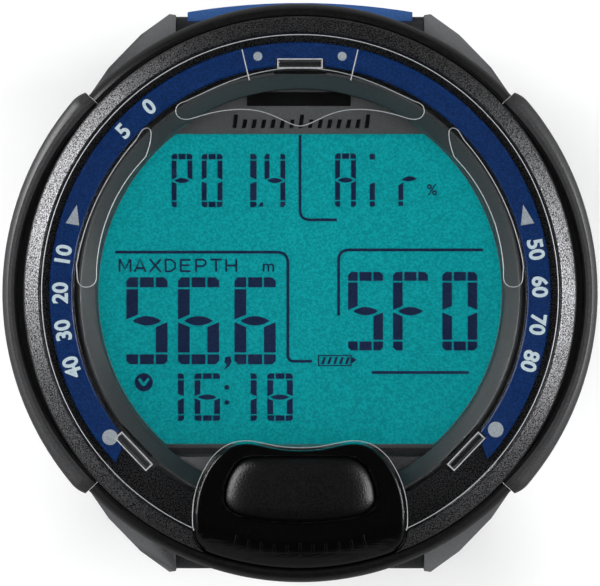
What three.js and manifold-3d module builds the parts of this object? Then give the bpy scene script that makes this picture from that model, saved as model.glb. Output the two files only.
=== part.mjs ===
// Wrist dive computer: a round module with one large front key, a clip-on clear shield, a screw-in battery cap
// and a two-piece strap that hangs in a loop below the case.
// Units are millimetres. +Z is up and out of the dial, +Y points to 12 o'clock, +X to 3 o'clock.
// The origin is the centre of the flat stretch of strap that the object stands on, straight below the dial's centre.
import * as THREE from "three";
import { mergeVertices } from "three/addons/utils/BufferGeometryUtils.js";
import Module from "manifold-3d";

const wasm = await Module();
wasm.setup();

// ---------- driving dimensions ----------
const BACK_HEIGHT = 42; // the case back above the surface that the strap stands on
const GAP = 0.3; // clearance between touching pieces

const GRIP_R = 33; // side grips, the widest point
const RING_R = 32.1; // bumper ring
const BEZEL_R = 30.6; // textured bezel, outer edge
const SHIELD_R = 28.55; // clear shield, outer edge
const TRIM_OUT_R = 27.7; // blue trim ring
const TRIM_IN_R = 25.3;
const WINDOW_R = 24.4; // front window
const FRAME_IN_R = 22.6; // smallest radius of the sloping wall round the display
const CASE_R = 30.2; // case wall under the bumper ring
const CASE_BACK_R = 26.2; // case wall at the back
const CAVITY_R = 26.4; // display cavity
const BOARD_CAVITY_R = 23.4; // circuit board and battery cavity
const COVER_R = 21.7; // rear cover
const CAP_FLANGE_R = 15; // battery cap
const CAP_PLUG_R = 13.4;

const PIN_Y = 28; // strap pins
const PIN_Z = 5.9;
const PIN_R = 0.9;
const STRAP_W = 27; // strap width at the case
const STRAP_END_W = 23; // strap width at its free end
const STRAP_T = 3.2;
const KNUCKLE_R = 2.9; // strap end round its pin
const LUG_GAP = STRAP_W / 2 + 0.4; // half of the slot that the strap end turns in

const KEY_Y = -21; // key stem axis
const RING_SEGMENTS = 60;
const INNER_SEGMENTS = 36;

// ---------- materials ----------
const material = (color, roughness, metalness = 0, opacity = 1) =>
  new THREE.MeshStandardMaterial({ color, roughness, metalness, opacity, transparent: opacity < 1 });
const BLACK_SATIN = material(0x2a2a2c, 0.55);
const BLACK_GLOSS = material(0x101012, 0.25);
const RUBBER = material(0x1b1b1d, 0.7);
const STRAP_RUBBER = material(0x222326, 0.75);
const BLUE = material(0x17407f, 0.3);
const CLEAR = material(0xf2f6f8, 0.05, 0, 0.2);
const WINDOW_GLASS = material(0xe8f0f2, 0.03, 0, 0.2);
const GREY = material(0x55555a, 0.5);
const TEAL = material(0x0a9296, 0.4);
const BOARD_GREEN = material(0x1d5a35, 0.5);
const STEEL = material(0xb9bcc0, 0.3, 1);
const GOLD = material(0xc9a24a, 0.35, 1);
const SEAL = material(0x303034, 0.8);
const WHITE = material(0xe6e8e6, 0.5);

// ---------- solids ----------
// A closed geometry as a solid; a mesh whose faces point inwards is turned round.
function solid(geometry) {
  const bare = (geometry.index ? geometry.toNonIndexed() : geometry.clone());
  bare.deleteAttribute("normal");
  bare.deleteAttribute("uv");
  const merged = mergeVertices(bare, 1e-4);
  const points = merged.attributes.position;
  const index = [];
  let volume = 0;
  const [a, b, c] = [new THREE.Vector3(), new THREE.Vector3(), new THREE.Vector3()];
  for (let i = 0; i < merged.index.count; i += 3) {
    const [p, q, r] = [0, 1, 2].map((k) => merged.index.getX(i + k));
    if (p === q || q === r || r === p) continue;
    index.push(p, q, r);
    a.fromBufferAttribute(points, p);
    b.fromBufferAttribute(points, q);
    c.fromBufferAttribute(points, r);
    volume += a.dot(b.cross(c));
  }
  if (volume < 0) index.reverse();
  return new wasm.Manifold(
    new wasm.Mesh({ numProp: 3, vertProperties: points.array, triVerts: new Uint32Array(index) }),
  );
}

const join = (first, ...rest) => rest.reduce((whole, piece) => whole.add(piece), first);
const cut = (first, ...rest) => rest.reduce((whole, piece) => whole.subtract(piece), first);

// A turned piece about +Z from an [r, z] profile that closes on itself or starts and ends on the axis.
function turned(profile, segments = RING_SEGMENTS, x = 0, y = 0) {
  const points = profile.map(([r, z]) => new THREE.Vector2(r, z));
  const geometry = new THREE.LatheGeometry(points, segments);
  return solid(geometry.rotateX(Math.PI / 2).translate(x, y, 0));
}
const disc = (r, z0, z1, segments, x = 0, y = 0) =>
  turned([[0, z0], [r, z0], [r, z1], [0, z1]], segments, x, y);
const ring = (rIn, rOut, z0, z1, segments, x = 0, y = 0) =>
  turned([[rIn, z0], [rOut, z0], [rOut, z1], [rIn, z1], [rIn, z0]], segments, x, y);
const box = (x0, x1, y0, y1, z0, z1) =>
  solid(new THREE.BoxGeometry(x1 - x0, y1 - y0, z1 - z0)
    .translate((x0 + x1) / 2, (y0 + y1) / 2, (z0 + z1) / 2));
const rodX = (r, x0, x1, y, z, segments = 16) =>
  solid(new THREE.CylinderGeometry(r, r, x1 - x0, segments)
    .rotateZ(Math.PI / 2).translate((x0 + x1) / 2, y, z));

function prism(shape, z0, z1, curveSegments = 16, bevel = 0) {
  const geometry = new THREE.ExtrudeGeometry(shape, {
    depth: z1 - z0 - 2 * bevel,
    curveSegments,
    bevelEnabled: bevel > 0,
    bevelThickness: bevel,
    bevelSize: bevel,
    bevelOffset: -bevel,
    bevelSegments: 2,
  });
  return solid(geometry.translate(0, 0, z0 + bevel));
}

// A side outline in (y, z), extruded along X between -half and +half.
function sidePrism(points, half) {
  const outline = new THREE.Shape(points.map(([y, z]) => new THREE.Vector2(y, z)));
  return prism(outline, -half, half, 12).transform(Y_Z_TO_X);
}
// Column-major matrix that takes (u, v, w) to (x = w, y = u, z = v).
const Y_Z_TO_X = [0, 1, 0, 0, 0, 0, 1, 0, 1, 0, 0, 0, 0, 0, 0, 1];

// A circle cut straight across at y = low, as the window and its seat are below the key.
function cutCircle(r, low) {
  const from = Math.asin(low / r);
  const shape = new THREE.Shape();
  shape.absarc(0, 0, r, from, Math.PI - from, false);
  shape.closePath();
  return shape;
}

// Part of a ring between two angles, in degrees anticlockwise from +X.
function sector(rIn, rOut, from, to) {
  const [a, b] = [from, to].map(THREE.MathUtils.degToRad);
  const shape = new THREE.Shape();
  shape.absarc(0, 0, rOut, a, b, false);
  shape.absarc(0, 0, rIn, b, a, true);
  shape.closePath();
  return shape;
}

const degrees = THREE.MathUtils.degToRad;
const polar = (r, angle) => [r * Math.cos(degrees(angle)), r * Math.sin(degrees(angle))];

// ---------- scene graph ----------
const computer = new THREE.Group();
const moduleGroup = new THREE.Group();
moduleGroup.position.z = BACK_HEIGHT;
computer.add(moduleGroup);

function node(name, piece, look, group = moduleGroup) {
  const made = piece.getMesh();
  const vertices = new Float32Array(made.numVert * 3);
  for (let i = 0; i < made.numVert; i++)
    for (let k = 0; k < 3; k++) vertices[3 * i + k] = made.vertProperties[i * made.numProp + k];
  const geometry = new THREE.BufferGeometry()
    .setAttribute("position", new THREE.BufferAttribute(vertices, 3))
    .setIndex(new THREE.BufferAttribute(made.triVerts, 1));
  geometry.computeVertexNormals();
  const mesh = new THREE.Mesh(geometry, look);
  mesh.name = name;
  group.add(mesh);
  return mesh;
}

// ---------- outlines of the key and its surround ----------
const KEY_TOP_Y = -17.4;
// Rounded arch with a shallow dip in its top, open towards the rim.
function surroundOutline(grow = 0) {
  const s = new THREE.Shape();
  const foot = 30.4 + grow;
  const footX = 10.6 + grow;
  s.moveTo(-footX, -Math.sqrt(foot ** 2 - footX ** 2));
  s.lineTo(-11.6 - grow, -26);
  s.bezierCurveTo(-11.8 - grow, -22, -10.6 - grow, -18 + grow, -6.1, -16.6 + grow);
  s.bezierCurveTo(-3.5, -16.4 + grow, -2.5, KEY_TOP_Y + grow, 0, KEY_TOP_Y + grow);
  s.bezierCurveTo(2.5, KEY_TOP_Y + grow, 3.5, -16.4 + grow, 6.1, -16.6 + grow);
  s.bezierCurveTo(10.6 + grow, -18 + grow, 11.8 + grow, -22, 11.6 + grow, -26);
  s.lineTo(footX, -Math.sqrt(foot ** 2 - footX ** 2));
  const half = Math.asin(footX / foot);
  s.absarc(0, 0, foot, -Math.PI / 2 + half, -Math.PI / 2 - half, true);
  return s;
}

// The key pad: flat top edge, slanting round sides, gently bowed lower edge.
function padOutline(grow = 0) {
  const s = new THREE.Shape();
  s.moveTo(-5.2, -18.1 + grow);
  s.lineTo(5.2, -18.1 + grow);
  s.bezierCurveTo(7.2 + grow, -18.3 + grow, 8.6 + grow, -20.6, 8.6 + grow, -22.6);
  s.bezierCurveTo(8.6 + grow, -24, 7.4 + grow, -24.4 - grow, 6.4, -24.6 - grow);
  s.quadraticCurveTo(0, -25.7 - grow, -6.4, -24.6 - grow);
  s.bezierCurveTo(-7.4 - grow, -24.4 - grow, -8.6 - grow, -24, -8.6 - grow, -22.6);
  s.bezierCurveTo(-8.6 - grow, -20.6, -7.2 - grow, -18.3 + grow, -5.2, -18.1 + grow);
  return s;
}

// ---------- case ----------
const WINDOW_LOW = -17.9; // where the window is cut straight below the display
const SCREW_R = 18.6;
const SCREW_ANGLES = [45, 135, 225, 315];
const BATTERY_Z = [3.2, 6.2];
const BOARD_Z = [7.2, 8.6];
const BOSS_TOP = 17.2;

function mainCase() {
  const shell = turned([
    [0, 0.4], [CASE_BACK_R - 1, 0.4], [CASE_BACK_R, 1.4], [CASE_R - 1.6, 7], [CASE_R, 10.4],
    [CASE_R, 17.2], [0, 17.2],
  ]);
  const lug = (side) => {
    const s = new THREE.Shape([
      new THREE.Vector2(12.6 * side, 18), new THREE.Vector2(12.6 * side, 30.9),
      new THREE.Vector2(14.6 * side, 31.2), new THREE.Vector2(17.8 * side, 28.9),
      new THREE.Vector2(21.4 * side, 25.2), new THREE.Vector2(23.3 * side, 22.45),
      new THREE.Vector2(21.2 * side, 20.4),
    ]);
    return prism(s, 2.6, 9.2);
  };
  const lugs = join(lug(1), lug(-1));
  const swing = rodX(5.3, -LUG_GAP, LUG_GAP, PIN_Y, PIN_Z, 32)
    .intersect(box(-LUG_GAP, LUG_GAP, 27.3, 40, 0, 20));
  const slot = box(-LUG_GAP, LUG_GAP, 24.4, 40, -1, 9.5).add(swing);
  const pinHole = rodX(PIN_R + 0.15, -16.6, 16.6, PIN_Y, PIN_Z);
  const boss = prism(surroundOutline(-0.2), 12.2, BOSS_TOP, 10)
    .intersect(box(-12, 12, -29, WINDOW_LOW - 0.9, 12.2, BOSS_TOP));
  const cavity = join(
    disc(BOARD_CAVITY_R, 2.9, 10, RING_SEGMENTS),
    disc(CAVITY_R, 9.4, 13.4, RING_SEGMENTS),
    disc(COVER_R + GAP, -1, 3.1, RING_SEGMENTS),
    prism(cutCircle(23, -17.5), 13, 15.1, 24),
    prism(cutCircle(WINDOW_R + GAP, WINDOW_LOW - GAP), 15, 18, 24),
  );
  let body = join(shell, lugs, lugs.mirror([0, 1, 0]));
  body = cut(body, cavity, slot, slot.mirror([0, 1, 0]), pinHole, pinHole.mirror([0, 1, 0]));
  const bosses = SCREW_ANGLES.map((angle) => {
    const [x, y] = polar(SCREW_R, angle);
    const web = box(SCREW_R, BOARD_CAVITY_R + 0.6, -1.6, 1.6, 4, 7).rotate([0, 0, angle]);
    return cut(disc(2.3, 4, 7, 16, x, y).add(web), disc(0.8, 3.8, 6.2, 10, x, y));
  });
  body = join(body, boss, ...bosses);
  return cut(
    body,
    disc(3, 15, 18, 20, 0, KEY_Y),
    disc(1.5, 12, 15.5, 16, 0, KEY_Y),
    disc(2.2, 13.2, 14.2, 16, 0, KEY_Y),
  );
}
node("main_case", mainCase(), BLACK_SATIN);

function bumperRing() {
  const whole = turned([
    [30.5, 11.2], [31.5, 11.2], [RING_R, 12], [RING_R, 17.6], [31.8, 18.7], [31.3, 19.2],
    [30.9, 19.2], [30.5, 18.8], [30.5, 11.2],
  ], 72);
  return [43.2, 223.2].map((from) => whole.intersect(prism(sector(29, 35, from, from + 93.6), 10, 21, 8)));
}
const [upperBumper, lowerBumper] = bumperRing();
node("bumper_ring_upper", upperBumper, RUBBER);
node("bumper_ring_lower", lowerBumper, RUBBER);

// A side grip: round outside, its upper inner edge a flatter arc that leaves a dark gap beside the bezel.
function sideGrip(side) {
  const HALF = 42.8;
  const outer = sector(30.6, GRIP_R, -HALF, HALF);
  const foot = prism(outer, 5.2, 13, 12);
  const [x0, y0] = polar(30.9, HALF);
  const inner = 31.55;
  const flatR = ((inner - x0) ** 2 + y0 ** 2) / (2 * (inner - x0));
  const top = prism(outer, 12, 19.5, 12, 0.5);
  const relief = disc(flatR, 12.8, 21, 72, inner - flatR, 0);
  const grip = foot.add(cut(top, relief));
  return side > 0 ? grip : grip.rotate([0, 0, 180]);
}
node("side_grip_right", sideGrip(1), BLACK_GLOSS);
node("side_grip_left", sideGrip(-1), BLACK_GLOSS);

// ---------- front of the module ----------
const CLIP_ANGLES = [90, -43.5, 223.5];
const clipBlock = (angle, halfWide, rIn, rOut, z0, z1) =>
  box(rIn, rOut, -halfWide, halfWide, z0, z1).rotate([0, 0, angle]);

function bezel() {
  const body = turned([
    [24.95, 17.6], [30.4, 17.6], [30.4, 19.2], [BEZEL_R, 19.5], [28.9, 22.2], [28.75, 22.2], [28.75, 20.4],
    [24.95, 20.4], [24.95, 17.6],
  ]);
  const keyOpening = prism(surroundOutline(GAP), 16, 24, 8);
  const rimOpening = prism(sector(26, 34, -111.2, -68.8), 16, 24, 8);
  const pockets = CLIP_ANGLES.map((angle) => clipBlock(angle, 2.9, 24, 25.9, 17, 21));
  return cut(body, keyOpening, rimOpening.intersect(box(-11, 11, -40, -20, 10, 30)), ...pockets);
}
node("top_bezel", bezel(), BLACK_SATIN);

function trimRing() {
  const arc = prism(sector(TRIM_IN_R, TRIM_OUT_R, -43, 225.5), 20.6, 21.3, 24);
  return cut(arc, ...CLIP_ANGLES.map((angle) => clipBlock(angle, 2.9, 24, 25.9, 17, 22)));
}
node("trim_ring", trimRing(), BLUE);

function displayFrame() {
  const wall = turned([
    [FRAME_IN_R, 17.4], [24.6, 17.4], [24.6, 20.5], [24.3, 20.5], [FRAME_IN_R, 18.2], [FRAME_IN_R, 17.4],
  ]);
  const pockets = CLIP_ANGLES.map((angle) => clipBlock(angle, 2.9, 24.2, 26, 17, 22));
  return cut(wall, prism(surroundOutline(GAP), 16, 24, 8), ...pockets);
}
node("display_frame", displayFrame(), GREY);

node("front_window", prism(cutCircle(WINDOW_R, WINDOW_LOW), 15.7, 17.1, 24), WINDOW_GLASS);
node("window_gasket", cut(
  prism(cutCircle(WINDOW_R, WINDOW_LOW), 15.4, 15.6, 24),
  prism(cutCircle(23.3, -17.2), 15, 16, 24),
), SEAL);

function displayMask() {
  const card = prism(cutCircle(22.7, -17.3), 13.5, 14, 24);
  return cut(card, box(-24, 24, -16.8, 17.7, 13, 15).intersect(disc(22.2, 13, 15, 48)));
}
node("display_mask", displayMask(), GREY);

// Clear shield: outline with the key notch, three flushing slots and three clips.
function shieldOutline() {
  const s = new THREE.Shape();
  const from = Math.atan2(-26, 12);
  s.absarc(0, 0, SHIELD_R, from, Math.PI - from, false);
  s.bezierCurveTo(-12.2, -22, -11, -17.6, -6.2, -16.15);
  s.bezierCurveTo(-3.5, -15.9, -2.5, -16.9, 0, -16.9);
  s.bezierCurveTo(2.5, -16.9, 3.5, -15.9, 6.2, -16.15);
  s.bezierCurveTo(11, -17.6, 12.2, -22, SHIELD_R * Math.cos(from), SHIELD_R * Math.sin(from));
  return s;
}
// Upper flushing slot: arched top, wavy lower edge with a point at the centre.
function archSlot() {
  const s = new THREE.Shape();
  s.moveTo(0, 18.6);
  s.bezierCurveTo(2.4, 18.7, 3.2, 20.4, 6.4, 20.4);
  s.bezierCurveTo(8.6, 20.4, 10.4, 19.9, 11.8, 19.3);
  s.bezierCurveTo(13.4, 19, 14, 20.4, 12.9, 21.1);
  s.bezierCurveTo(9.6, 22.6, 5.4, 24.2, 0, 24.2);
  s.bezierCurveTo(-5.4, 24.2, -9.6, 22.6, -12.9, 21.1);
  s.bezierCurveTo(-14, 20.4, -13.4, 19, -11.8, 19.3);
  s.bezierCurveTo(-10.4, 19.9, -8.6, 20.4, -6.4, 20.4);
  s.bezierCurveTo(-3.2, 20.4, -2.4, 18.7, 0, 18.6);
  return s;
}
// Side flushing slot on the right: a kidney between two arcs, pointed at its upper end.
function sideSlot(side) {
  const s = new THREE.Shape();
  const at = (r, a) => polar(r, side > 0 ? a : 180 - a);
  s.moveTo(...at(22.7, 2.5));
  for (let a = 8; a <= 43; a += 5) s.lineTo(...at(22.7, a));
  s.lineTo(...at(24.2, 48));
  s.lineTo(...at(24.6, 47.4));
  for (let a = 43; a >= 3; a -= 5) s.lineTo(...at(24.75, a));
  s.lineTo(...at(24.4, 1.4));
  s.lineTo(...at(23.1, 1.2));
  return s;
}
function clearShield() {
  const plate = prism(shieldOutline(), 21.6, 23.1, 22);
  const slots = [archSlot(), sideSlot(1), sideSlot(-1)].map((s) => prism(s, 21, 24, 6));
  const clips = CLIP_ANGLES.map((angle) => clipBlock(angle, 2.5, 24.95, 25.65, 18.6, 22));
  return join(cut(plate, ...slots), ...clips);
}
node("clear_shield", clearShield(), CLEAR);

// ---------- key ----------
node("key_surround", cut(
  prism(surroundOutline(), 17.5, 22.9, 8).intersect(
    turned([[0, 17], [30.4, 17], [30.4, 19.4], [27.6, 23.4], [0, 23.4]], 120)),
  prism(padOutline(0.35), 17, 24, 6),
), BLACK_GLOSS);
node("key_pad", cut(
  prism(padOutline(), 18.9, 23.9, 6, 0.7),
  disc(1.5, 18, 21, 16, 0, KEY_Y),
), BLACK_SATIN);
node("key_stem", turned([
  [0, 10.9], [1.2, 10.9], [1.2, 11.4], [0.8, 11.4], [0.8, 12], [1.2, 12], [1.2, 20.6], [0, 20.6],
], 16, 0, KEY_Y), STEEL);
node("key_seal", ring(1.45, 2.1, 13.35, 14.05, 16, 0, KEY_Y), SEAL);

function coilSpring(radius, wire, z0, z1, turns) {
  const points = [];
  const steps = turns * 12;
  for (let i = 0; i <= steps; i++) {
    const a = (i / 12) * 2 * Math.PI;
    points.push(new THREE.Vector3(radius * Math.cos(a), radius * Math.sin(a),
      z0 + wire + ((z1 - z0 - 2 * wire) * i) / steps));
  }
  const section = new THREE.Shape();
  section.absarc(0, 0, wire, 0, 2 * Math.PI, false);
  return solid(new THREE.ExtrudeGeometry(section, {
    steps: Math.round(steps),
    curveSegments: 3,
    bevelEnabled: false,
    extrudePath: new THREE.CatmullRomCurve3(points),
  }).translate(0, KEY_Y, 0));
}
node("key_spring", coilSpring(2.2, 0.22, 15.2, 18.7, 4), STEEL);

// Retaining clip in the stem's groove: three quarters of a ring.
node("key_circlip", prism(sector(0.95, 2.2, -45, 225), 11.5, 11.9, 8).translate([0, KEY_Y, 0]), STEEL);

// ---------- display stack and electronics ----------
node("lcd_panel", box(-24, 24, -18.4, 18.9, 11.5, 13.1).intersect(disc(26, 11, 14, 48)), TEAL);
node("light_guide", box(-20, 20, -14.6, 15.2, 9.9, 11.2), WHITE);
node("contact_strip_upper", box(-15, 15, 15.5, 17.2, 8.9, 11.2), SEAL);
node("contact_strip_lower", box(-13, 13, -17.2, -15.5, 8.9, 11.2), SEAL);
node("circuit_board", cut(
  disc(23, ...BOARD_Z, 48),
  box(-30, 30, 22.2, 30, 7, 9),
), BOARD_GREEN);
node("key_switch", join(
  box(-1.6, 1.6, KEY_Y - 1, KEY_Y + 1.6, 8.9, 9.3),
  disc(0.8, 9.1, 9.55, 12, 0, KEY_Y),
), STEEL);
node("processor_chip", box(-21.2, -14.6, -3.6, 3.2, 5.9, 6.9), BLACK_SATIN);
node("clock_crystal", box(14.8, 20.8, 3.6, 5.4, 5.5, 6.9), STEEL);
node("buzzer_disc", disc(2.9, 5.7, 6.9, 24, 17.8, -3.2), GOLD);
node("pressure_sensor", turned([
  [0, 1.5], [1.3, 1.5], [1.3, 3.4], [2.2, 3.4], [2.2, 6.9], [0, 6.9],
], 20, 0, 17.9), STEEL);
node("battery_tray", cut(
  ring(12.6, 14.6, 3.3, 6.9, INNER_SEGMENTS),
  box(-16, -11, -3, 3, 4.8, 8),
  box(11, 16, -3, 3, 4.8, 8),
), WHITE);
node("coin_battery", turned([
  [0, BATTERY_Z[0]], [11.9, BATTERY_Z[0]], [12.25, BATTERY_Z[0] + 0.3], [12.25, BATTERY_Z[1] - 0.5],
  [10.6, BATTERY_Z[1]], [0, BATTERY_Z[1]],
], INNER_SEGMENTS), STEEL);
node("battery_contact_upper", sidePrism(
  [[-5, 6.8], [-1.5, 6.4], [1.5, 6.4], [5, 6.8], [5, 7], [1.4, 6.6], [-1.4, 6.6], [-5, 7]], 1.5), GOLD);

// ---------- back of the module ----------
function rearCover() {
  const cover = turned([
    [0, 0], [COVER_R - 1.2, 0], [COVER_R, 0.8], [COVER_R, 2.8], [0, 2.8],
  ]);
  const holes = SCREW_ANGLES.flatMap((angle) => {
    const [x, y] = polar(SCREW_R, angle);
    return [disc(2.2, -1, 1.7, 12, x, y), disc(1.2, 1, 4, 8, x, y)];
  });
  return cut(
    cover,
    disc(CAP_FLANGE_R + GAP, -1, 0.9, INNER_SEGMENTS),
    disc(CAP_PLUG_R + 0.5, 0, 4, INNER_SEGMENTS),
    disc(1.6, 0.5, 4, 16, 0, 17.9),
    disc(2.3, -1, 0.9, 20, 0, 17.9),
    ...holes,
  );
}
node("rear_cover", rearCover(), BLACK_SATIN);
node("rear_seal", turned([
  [20.2, 3.4], [20.7, 2.95], [21.2, 3.4], [20.7, 3.85], [20.2, 3.4],
], INNER_SEGMENTS), SEAL);
node("sensor_grille", cut(
  disc(2, 0.1, 0.6, 20, 0, 17.9),
  ...[0, 120, 240].map((angle) => disc(0.4, -1, 2, 8, polar(1, angle)[0], 17.9 + polar(1, angle)[1])),
), STEEL);
SCREW_ANGLES.forEach((angle, i) => {
  const [x, y] = polar(SCREW_R, angle);
  const screw = turned([
    [0, 0.4], [1.7, 0.4], [1.9, 0.7], [1.9, 1.4], [0.6, 1.4], [0.6, 6], [0, 6],
  ], 12, x, y);
  const driveSlots = join(box(-1.1, 1.1, -0.25, 0.25, 0, 1), box(-0.25, 0.25, -1.1, 1.1, 0, 1));
  node(`case_screw_${i + 1}`, cut(screw, driveSlots.translate([x, y, 0])), STEEL);
});

function batteryCap() {
  const cap = turned([
    [0, 0], [14.4, 0], [CAP_FLANGE_R, 0.3], [CAP_FLANGE_R, 0.6], [CAP_PLUG_R, 0.6],
    [CAP_PLUG_R, 1.2], [12.6, 1.2], [12.6, 2.1], [CAP_PLUG_R, 2.1], [CAP_PLUG_R, 2.8], [0, 2.8],
  ], INNER_SEGMENTS);
  return cut(cap, box(-10.5, 10.5, -0.9, 0.9, -2, 1));
}
node("battery_cap", batteryCap(), BLACK_GLOSS);
node("battery_cap_seal", turned([
  [12.8, 1.65], [13.2, 1.3], [13.6, 1.65], [13.2, 2], [12.8, 1.65],
], INNER_SEGMENTS), SEAL);

// ---------- strap ----------
// A band is a flat strip that follows a centreline in the (y, z) plane; its last width carries on to the end.
function band(line, widths, thickness = STRAP_T) {
  const count = line.length;
  const vertices = [];
  const index = [];
  line.forEach(([y, z], i) => {
    const [py, pz] = line[Math.max(i - 1, 0)];
    const [ny, nz] = line[Math.min(i + 1, count - 1)];
    const length = Math.hypot(ny - py, nz - pz);
    const [ty, tz] = [(ny - py) / length, (nz - pz) / length];
    const half = widths[Math.min(i, widths.length - 1)] / 2;
    const edge = 0.5;
    [[-half, -0.5], [-half + edge, -1], [half - edge, -1], [half, -0.5],
      [half, 0.5], [half - edge, 1], [-half + edge, 1], [-half, 0.5]].forEach(([x, side]) => {
      const off = (side * thickness) / 2;
      vertices.push(x, y - tz * off, z + ty * off);
    });
  });
  const around = 8;
  for (let i = 0; i < count - 1; i++)
    for (let k = 0; k < around; k++) {
      const [a, b] = [i * around + k, i * around + ((k + 1) % around)];
      index.push(a, b, b + around, a, b + around, a + around);
    }
  for (let k = 1; k < around - 1; k++) {
    index.push(0, k + 1, k);
    const last = (count - 1) * around;
    index.push(last, last + k, last + k + 1);
  }
  const geometry = new THREE.BufferGeometry()
    .setAttribute("position", new THREE.Float32BufferAttribute(vertices, 3))
    .setIndex(index);
  return solid(geometry);
}

// Points of an arc in the (y, z) plane, from one angle to another, in degrees.
function arc(cy, cz, r, from, to, steps) {
  return Array.from({ length: steps + 1 }, (_, i) => {
    const a = degrees(from + ((to - from) * i) / steps);
    return [cy + r * Math.cos(a), cz + r * Math.sin(a)];
  });
}
const PIN_LIFT = BACK_HEIGHT + PIN_Z;
const FOOT_Z = STRAP_T / 2; // centreline of the stretch that lies on the surface

// Lower half (6 o'clock): down from its pin, flat along the surface, then up inside the loop.
const LOWER_Y = -28.6;
const FOOT_FROM = -15;
const FOOT_TO = 9;
const TAIL_Y = 20.6;
const TAIL_TOP = 30;
const HEEL_R = FOOT_FROM - LOWER_Y;
const TOE_R = TAIL_Y - FOOT_TO;
const lowerLine = [
  [LOWER_Y, PIN_LIFT - 1],
  [LOWER_Y, 30],
  ...arc(FOOT_FROM, FOOT_Z + HEEL_R, HEEL_R, 180, 270, 8),
  ...arc(FOOT_TO, FOOT_Z + TOE_R, TOE_R, 270, 360, 8),
  [TAIL_Y, 24],
  [TAIL_Y, TAIL_TOP],
];

// Strap end that turns on its pin, and the bore for the pin.
const strapEnd = (side) =>
  rodX(KNUCKLE_R, -STRAP_W / 2, STRAP_W / 2, side * PIN_Y, PIN_LIFT, 24);
const strapBore = (side) =>
  rodX(PIN_R + 0.15, -STRAP_W, STRAP_W, side * PIN_Y, PIN_LIFT, 16);

function lowerStrap() {
  const taper = lowerLine.map((_, i) => STRAP_W + ((STRAP_END_W - STRAP_W) * Math.min(i, 10)) / 10);
  const strip = band(lowerLine, taper).add(strapEnd(-1));
  const slot = (y, z, turn) =>
    solid(new THREE.BoxGeometry(4.6, 2, 8)).rotate([turn, 0, 0]).translate([0, y, z]);
  const holes = [];
  for (let y = -9; y <= FOOT_TO; y += 6) holes.push(slot(y, FOOT_Z, 0));
  [300, 330].forEach((a) => {
    const [y, z] = arc(FOOT_TO, FOOT_Z + TOE_R, TOE_R, a, a, 1)[0];
    holes.push(slot(y, z, a - 270));
  });
  [18, 24].forEach((z) => holes.push(slot(TAIL_Y, z, 90)));
  return cut(strip, strapBore(-1), ...holes);
}
node("strap_lower", lowerStrap(), STRAP_RUBBER, computer);

// Upper half (12 o'clock): down from its pin, then leaning in to the buckle.
const UPPER_Y = 28.6;
const BUCKLE_Z = 15.5;
const BUCKLE_Y = 27.2;
const LEAN_FROM = 24;
const upperLine = [
  [UPPER_Y, PIN_LIFT - 1],
  [UPPER_Y, LEAN_FROM],
  [28.2, 19.5],
  [BUCKLE_Y, BUCKLE_Z],
];
function upperStrap() {
  const strip = band(upperLine, [STRAP_W, STRAP_W - 1, STRAP_END_W]);
  const knuckle = rodX(2.2, -STRAP_END_W / 2, STRAP_END_W / 2, BUCKLE_Y, BUCKLE_Z, 20);
  const pinBore = rodX(0.95, -20, 20, BUCKLE_Y, BUCKLE_Z, 14);
  const tongueSlot = box(-2, 2, 20, 35, BUCKLE_Z - 4, BUCKLE_Z + 4.4);
  return cut(join(strip, strapEnd(1), knuckle), strapBore(1), pinBore, tongueSlot);
}
node("strap_upper", upperStrap(), STRAP_RUBBER, computer);

// Blue inlay across the upper strap's outer end, bowed with the strap's edge.
function strapAccent() {
  const R = 78;
  const half = 12.6;
  const back = PIN_Y + KNUCKLE_R + 0.25;
  const a = Math.asin(half / R);
  const s = new THREE.Shape();
  s.moveTo(half, back);
  s.absarc(0, 32.5 - R, R, Math.PI / 2 - a, Math.PI / 2 + a, false);
  s.lineTo(-half, back);
  s.closePath();
  return prism(s, PIN_LIFT - 3.4, PIN_LIFT + 1.6, 10);
}
node("strap_accent", strapAccent(), BLUE, computer);

// Strap pins sit between the lugs; each has a waist at both ends where its sprung tip starts.
for (const [name, side] of [["strap_pin_upper", 1], ["strap_pin_lower", -1]])
  node(name, solid(new THREE.LatheGeometry([
    [0, -16.2], [0.55, -16.2], [0.55, -14.4], [PIN_R, -14.2],
    [PIN_R, 14.2], [0.55, 14.4], [0.55, 16.2], [0, 16.2],
  ].map(([r, x]) => new THREE.Vector2(r, x)), 12).rotateZ(Math.PI / 2)
    .translate(0, side * PIN_Y, PIN_LIFT)), STEEL, computer);

// Keeper: a closed loop round the upper strap, for the strap's free end.
function keeper() {
  const [low, high] = [24.5, 29.5];
  const wall = 1.1;
  const halfWide = STRAP_W / 2 + 0.4;
  const back = UPPER_Y - STRAP_T / 2 - GAP;
  const front = UPPER_Y + STRAP_T / 2 + GAP;
  return cut(
    box(-halfWide - wall, halfWide + wall, back - wall, front + wall, low, high),
    box(-halfWide, halfWide, back, front, low - 1, high + 1),
  );
}
node("keeper_loop", keeper(), STRAP_RUBBER, computer);

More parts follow.
